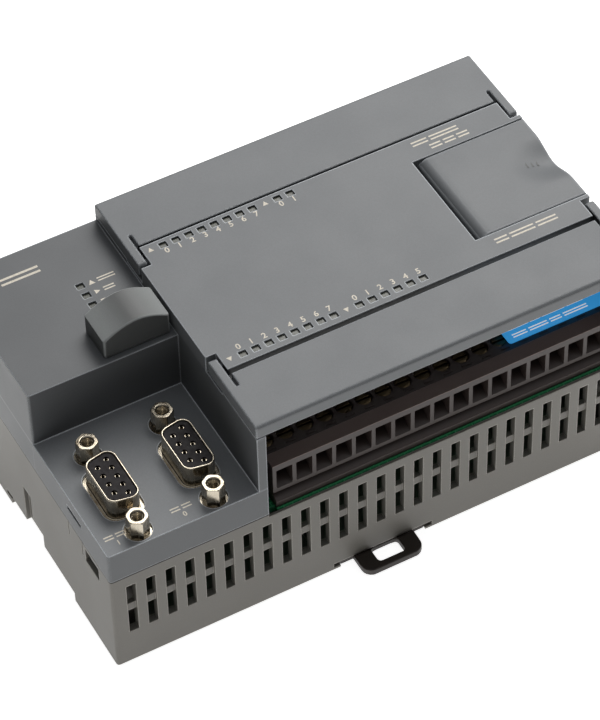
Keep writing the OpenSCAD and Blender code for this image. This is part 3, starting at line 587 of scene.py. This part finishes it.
def add_block(bm, low, high):
    """A box between two corners given in millimetres on the unit."""
    a, b = place(*low), place(*high)
    size = b - a
    spot = Matrix.Translation((a + b) / 2) @ Matrix.Diagonal((*size, 1))
    bmesh.ops.create_cube(bm, size=1, matrix=spot)


def add_outline(bm, points, z, thickness):
    """A flat shape, from points in millimetres on the unit, standing on height z."""
    low = [bm.verts.new(place(x, y, z)) for x, y in points]
    high = [bm.verts.new(place(x, y, z + thickness)) for x, y in points]
    bm.faces.new(low[::-1])
    bm.faces.new(high)
    for i, point in enumerate(low):
        j = (i + 1) % len(low)
        bm.faces.new((point, low[j], high[j], high[i]))


def add_lathe(bm, centre, profile, steps=40):
    """A closed section of (radius, height) points, in millimetres, turned about an upright axis."""
    rings = []
    for i in range(steps):
        turn = 2 * math.pi * i / steps
        way = Vector((math.cos(turn), math.sin(turn), 0))
        rings.append([bm.verts.new(centre + (way * r + Vector((0, 0, z))) * MM) for r, z in profile])
    for i, ring in enumerate(rings):
        following = rings[(i + 1) % steps]
        for j in range(len(profile)):
            k = (j + 1) % len(profile)
            bm.faces.new((ring[j], following[j], following[k], ring[k]))


# ---- Light windows and printed marks: figures, plain symbols and bars, with no words ----

WINDOW_STEP = 3.35
OUTPUT_X = 46.2
OUTPUT_Y = 60.1
INPUT_X = 46.3
INPUT_Y = 21.1
STATUS_X = 25.6
STATUS_YS = (62.6, 59.3, 56.0)
# How far a numeral's middle is from its row of windows
OUTPUT_FIGURE = -2.05
INPUT_FIGURE = 2.35
# Each channel's place in its row and its printed number; place 8 is left for an arrow
OUTPUTS = [(i, i) for i in range(8)] + [(i, i - 9) for i in (9, 10)]
INPUTS = [(i, i) for i in range(8)] + [(i, i - 9) for i in range(9, 15)]


def add_figure(bm, figure, x, y, z, height):
    """A numeral of the given height, centred on x and y."""
    curve = bpy.data.curves.new("figure", "FONT")
    curve.body = figure
    curve.size = height * MM / 0.7
    curve.align_x = "CENTER"
    curve.align_y = "CENTER"
    curve.extrude = INK_T * MM / 2
    curve.resolution_u = 3
    curve.offset = 0.045 * MM
    text = bpy.data.objects.new("figure", curve)
    mesh = bpy.data.meshes.new_from_object(text)
    mesh.transform(Matrix.Translation(place(x, y, z + INK_T / 2)))
    bm.from_mesh(mesh)
    bpy.data.objects.remove(text)
    bpy.data.meshes.remove(mesh)


def add_word_bars(bm, x, y, z, lengths, height, gap=0.7):
    """Two thin lines for each word that the print would have."""
    line = height * 0.3
    for length in lengths:
        for low in (y - height / 2, y + height / 2 - line):
            outline = [(x, low), (x + length, low), (x + length, low + line), (x, low + line)]
            add_outline(bm, outline, z, INK_T)
        x += length + gap


def window_lenses():
    """Smoked lenses just below the face, over the light pipes' prongs."""
    places = {
        "output": [(OUTPUT_X + spot * WINDOW_STEP, OUTPUT_Y) for spot, number in OUTPUTS],
        "input": [(INPUT_X + spot * WINDOW_STEP, INPUT_Y) for spot, number in INPUTS],
        "status": [(STATUS_X, y) for y in STATUS_YS],
    }
    half_x, half_y, thickness = 0.93, 0.83, 0.7
    for group, spots in places.items():
        bm = bmesh.new()
        top = (PANEL if group == "status" else FACE) / MM - 0.5
        for x, y in spots:
            low = (x - half_x, y - half_y, top - thickness)
            add_block(bm, low, (x + half_x, y + half_y, top))
        name = group + "_lenses"
        add_piece(name, mesh_from(bm, name), "smoked_window", "root")


def print_channel_numbers():
    """Numerals beside each window, and an arrow before each group."""
    bm = bmesh.new()
    face = FACE / MM + PROUD
    height = 1.6
    for spot, number in OUTPUTS:
        x = OUTPUT_X + spot * WINDOW_STEP
        add_figure(bm, str(number), x, OUTPUT_Y + OUTPUT_FIGURE, face, height)
    for spot, number in INPUTS:
        x = INPUT_X + spot * WINDOW_STEP
        add_figure(bm, str(number), x, INPUT_Y + INPUT_FIGURE, face, height)
    half, base, tip = 0.7, 0.6, 0.7
    for spot in (-1, 8):
        x, y = OUTPUT_X + spot * WINDOW_STEP, OUTPUT_Y
        add_outline(bm, [(x - half, y - base), (x + half, y - base), (x, y + tip)], face, INK_T)
        x, y = INPUT_X + spot * WINDOW_STEP, INPUT_Y
        add_outline(bm, [(x - half, y + base), (x, y - tip), (x + half, y + base)], face, INK_T)
    add_piece("channel_numbers", mesh_from(bm, "channel_numbers"), "pale_plastic", "root", printed)


def print_panel_marks():
    """Status symbols, port numerals and plain bars on the left panel and the port bay."""
    bm = bmesh.new()
    panel = PANEL / MM + PROUD
    bay = BAY / MM + PROUD
    up = [(27.6, -0.7), (29.2, -0.7), (28.4, 0.7)]
    right = [(27.8, -0.7), (29.1, 0.0), (27.8, 0.7)]
    square = [(27.8, -0.6), (29.0, -0.6), (29.0, 0.6), (27.8, 0.6)]
    for y, symbol, length in zip(STATUS_YS, (up, right, square), (4.4, 2.8, 2.6)):
        add_outline(bm, [(px, y + py) for px, py in symbol], panel, INK_T)
        add_word_bars(bm, 30.0, y, panel, [length], 1.2)
    add_word_bars(bm, 1.6, 72.6, panel, [7.5, 10.0], 2.2)
    add_word_bars(bm, 1.6, 67.4, panel, [4.6], 1.7)
    for number, x in ((1, 4.2), (0, 20.9)):
        add_figure(bm, str(number), x, 2.75, bay, 1.35)
        add_word_bars(bm, x - 2.6, 4.9, bay, [2.3, 2.3], 1.2, 0.6)
    add_piece("panel_marks", mesh_from(bm, "panel_marks"), "pale_plastic", "root", printed)


def print_plate_marks():
    """Plain bars where the face carries its type lines."""
    bm = bmesh.new()
    face = FACE / MM + PROUD
    add_word_bars(bm, 112.4, 59.6, face, [4.2, 7.6], 1.5)
    add_word_bars(bm, 116.0, 57.0, face, [3.0, 3.0, 3.0], 1.5)
    add_word_bars(bm, 113.4, 22.7, face, [3.4, 6.4, 5.4], 1.6)
    add_piece("plate_marks", mesh_from(bm, "plate_marks"), "pale_plastic", "root", printed)


def print_label_marks():
    """Two rows of plain bars on the blue label."""
    bm = bmesh.new()
    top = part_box("terminal_label")[1].z / MM + PROUD
    add_word_bars(bm, 111.0, 12.6, top, [5.2, 2.6, 6.0, 4.4], 1.5)
    add_word_bars(bm, 111.0, 10.0, top, [3.8, 5.0, 3.0, 6.4], 1.1)
    add_piece("label_marks", mesh_from(bm, "label_marks"), "pale_plastic", "root", white_print)


# ---- Ports ----

PORT_XS = (28.8, 9.6)
PORT_Y = 16.4
JACK_PITCH = 24.99
JACK_TOP = 44.9
THREAD_PITCH = 0.635
THREAD_TURNS = 6
SOCKET_PITCH = 2.77
SOCKET_ROW = 1.42


def jack_threads(port, x):
    """Internal threads of the two jack sockets beside one port."""
    bm = bmesh.new()
    crest, root, wall, start = 0.98, 1.18, 1.22, -0.6
    section = [(1.2, start + 0.05)]
    for turn in range(THREAD_TURNS):
        top = start - turn * THREAD_PITCH
        section += [(crest, top - THREAD_PITCH / 2), (root, top - THREAD_PITCH)]
    section += [(wall, start - THREAD_TURNS * THREAD_PITCH), (wall, start + 0.05)]
    for side in (-1, 1):
        add_lathe(bm, place(x, PORT_Y + side * JACK_PITCH / 2, JACK_TOP), section)
    name = "port_%d_threads" % port
    add_piece(name, mesh_from(bm, name, 20), "nickel", "root")


def socket_lips(port, x):
    """The split mouths of the nine sockets, just inside their holes."""
    bm = bmesh.new()
    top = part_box("port_0_insulator")[1].z / MM - 0.3
    spots = [(x + SOCKET_ROW, PORT_Y + SOCKET_PITCH * (i - 2)) for i in range(5)]
    spots += [(x - SOCKET_ROW, PORT_Y + SOCKET_PITCH * (i - 1.5)) for i in range(4)]
    depth = 0.9
    for cx, cy in spots:
        for side in (0, math.pi):
            arc = [side + math.radians(20 * i - 60) for i in range(7)]
            outer = [(cx + 0.56 * math.cos(a), cy + 0.56 * math.sin(a)) for a in arc]
            inner = [(cx + 0.44 * math.cos(a), cy + 0.44 * math.sin(a)) for a in arc]
            add_outline(bm, outer + inner[::-1], top - depth, depth)
    name = "port_%d_socket_lips" % port
    add_piece(name, mesh_from(bm, name), "nickel", "root")


# ---- Access door: rolled hinge edge and a finger scoop in its free edge ----

DOOR_X0 = 111.1
DOOR_X1 = 140.0
DOOR_Y0 = 25.6
DOOR_Y1 = 54.3
ROLL = 2.6
SCOOP_Y = 40.0
SCOOP_HALF = 8.4
SCOOP_LENGTH = 13.0
SCOOP_DEPTH = 2.2
# Radius of the door's rim
DOOR_EDGE = 0.3
DOOR_T = 1.5
# Lowest height of the door's underside
DOOR_LOW = 57.9
# Hinge axis
HINGE_X = 112
HINGE_Z = 60


def smooth(value):
    """Eases from 0 to 1, level at both ends."""
    value = min(max(value, 0), 1)
    return value * value * (3 - 2 * value)


def door_height(x, y):
    """Height of the door's face at a point, in millimetres."""
    z = FACE / MM
    if x < DOOR_X0 + ROLL:
        z -= ROLL - math.sqrt(max(ROLL ** 2 - (DOOR_X0 + ROLL - x) ** 2, 0))
    along = smooth((x - DOOR_X1 + SCOOP_LENGTH) / SCOOP_LENGTH)
    across = smooth(1 - abs(y - SCOOP_Y) / SCOOP_HALF)
    return z - SCOOP_DEPTH * along * across


def door_points(low, high, step):
    """Evenly spaced positions with closer ones at both rounded ends."""
    inner = max(2, round((high - low - 2 * DOOR_EDGE) / step))
    middle = [low + DOOR_EDGE + (high - low - 2 * DOOR_EDGE) * i / inner for i in range(inner + 1)]
    return [low, low + 0.09] + middle + [high - 0.09, high]


def edge_drop(value, low, high):
    """How far the rounded rim falls below the face, this far from the nearer side."""
    away = min(value - low, high - value, DOOR_EDGE)
    return DOOR_EDGE - math.sqrt(DOOR_EDGE ** 2 - (DOOR_EDGE - away) ** 2)


def add_shell(bm, top, bottom, rows, columns):
    """Faces over two matching grids of vertices, and a rim that closes them into one solid."""
    for i in range(rows - 1):
        for j in range(columns - 1):
            a, b = i * columns + j, (i + 1) * columns + j
            bm.faces.new((top[a], top[b], top[b + 1], top[a + 1]))
            bm.faces.new((bottom[a], bottom[a + 1], bottom[b + 1], bottom[b]))
    rim = [i * columns for i in range(rows)]
    rim += [(rows - 1) * columns + j for j in range(1, columns)]
    rim += [i * columns + columns - 1 for i in range(rows - 2, -1, -1)]
    rim += list(range(columns - 2, 0, -1))
    for i, a in enumerate(rim):
        b = rim[(i + 1) % len(rim)]
        bm.faces.new((top[a], bottom[a], bottom[b], top[b]))


def make_door():
    """The door's skin, with a round rim on every side but the rolled one."""
    bm = bmesh.new()
    xs = [DOOR_X0 + ROLL * (1 - math.cos(math.radians(9 * i))) for i in range(10)]
    xs += door_points(DOOR_X0 + ROLL, DOOR_X1, 0.8)[3:]
    ys = door_points(DOOR_Y0, DOOR_Y1, 0.8)
    top, bottom = [], []
    for x in xs:
        for y in ys:
            z = door_height(x, y)
            drop = edge_drop(y, DOOR_Y0, DOOR_Y1)
            if x > DOOR_X0 + ROLL:
                drop = max(drop, edge_drop(x, DOOR_X0, DOOR_X1))
            top.append(bm.verts.new(place(x, y, z - drop)))
            bottom.append(bm.verts.new(place(x, y, max(z - DOOR_T, DOOR_LOW))))
    add_shell(bm, top, bottom, len(xs), len(ys))
    door = add_piece("door_skin", mesh_from(bm, "door_skin"), "housing_plastic", "door")
    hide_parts("access_door")


def door_details():
    """Hinge barrel with its pins, and three dark bars in the scoop: painted shade that stands for its
    grip grooves.
    """
    bm = bmesh.new()
    lie = Matrix.Rotation(math.radians(90), 4, "X")
    for radius, extra in ((0.95, -0.05), (0.8, 1.6)):
        length = (DOOR_Y1 - DOOR_Y0 + 2 * extra) * MM
        spot = Matrix.Translation(place(HINGE_X, (DOOR_Y0 + DOOR_Y1) / 2, HINGE_Z)) @ lie
        bmesh.ops.create_cone(bm, cap_ends=True, segments=32, radius1=radius * MM,
                              radius2=radius * MM, depth=length, matrix=spot)
    add_piece("door_barrel", mesh_from(bm, "door_barrel"), "housing_plastic", "door")
    bm = bmesh.new()
    # Dark bars just proud of the scoop, painted shade in place of three grip grooves
    for x in (133.0, 134.4, 135.8):
        z = door_height(x, 41.2)
        add_block(bm, (x - 0.2, 40.1, z - 0.4), (x + 0.2, 42.3, z + 0.05))
    add_piece("door_grip_shade_bars", mesh_from(bm, "door_grip_shade_bars"), "cap_plastic", "door")


def slit_backings():
    """Plates that close the relief slits near both ends of the two covers from below."""
    half_x, half_y, low, high = 0.9, 2.8, 59.5, 60.45
    for name, y in (("lower_cover", 15.4), ("upper_cover", 64.6)):
        bm = bmesh.new()
        for x in (40.9, 137.4):
            add_block(bm, (x - half_x, y - half_y, low), (x + half_x, y + half_y, high))
        piece = name + "_slit_backing"
        add_piece(piece, mesh_from(bm, piece), "housing_plastic", name)


def build_pieces():
    """Everything that Blender adds to the CAD pieces."""
    make_door()
    door_details()
    slit_backings()
    window_lenses()
    print_channel_numbers()
    print_panel_marks()
    print_plate_marks()
    print_label_marks()
    for port, x in enumerate(PORT_XS):
        jack_threads(port, x)
        socket_lips(port, x)


# ---- Build ----

bpy.context.scene.view_settings.view_transform = "Standard"
make_camera()
make_sky()
make_floor()
# Both lamps stand behind the object, where their gloss on the top faces reaches the camera
make_lamp("key", azimuth=128, elevation=52, distance=1.1, size=0.7, power=8.0, colour=(1.0, 0.985, 0.96))
make_lamp("sheen", azimuth=156, elevation=42, distance=1.3, size=0.5, power=2.0)
finishes = finish_cad()
printed = ink("printed_ink", INK)
# The label's print glows: painted light over the covers' shade
white_print = ink("label_print", (238, 242, 246), 0.5)
build_pieces()
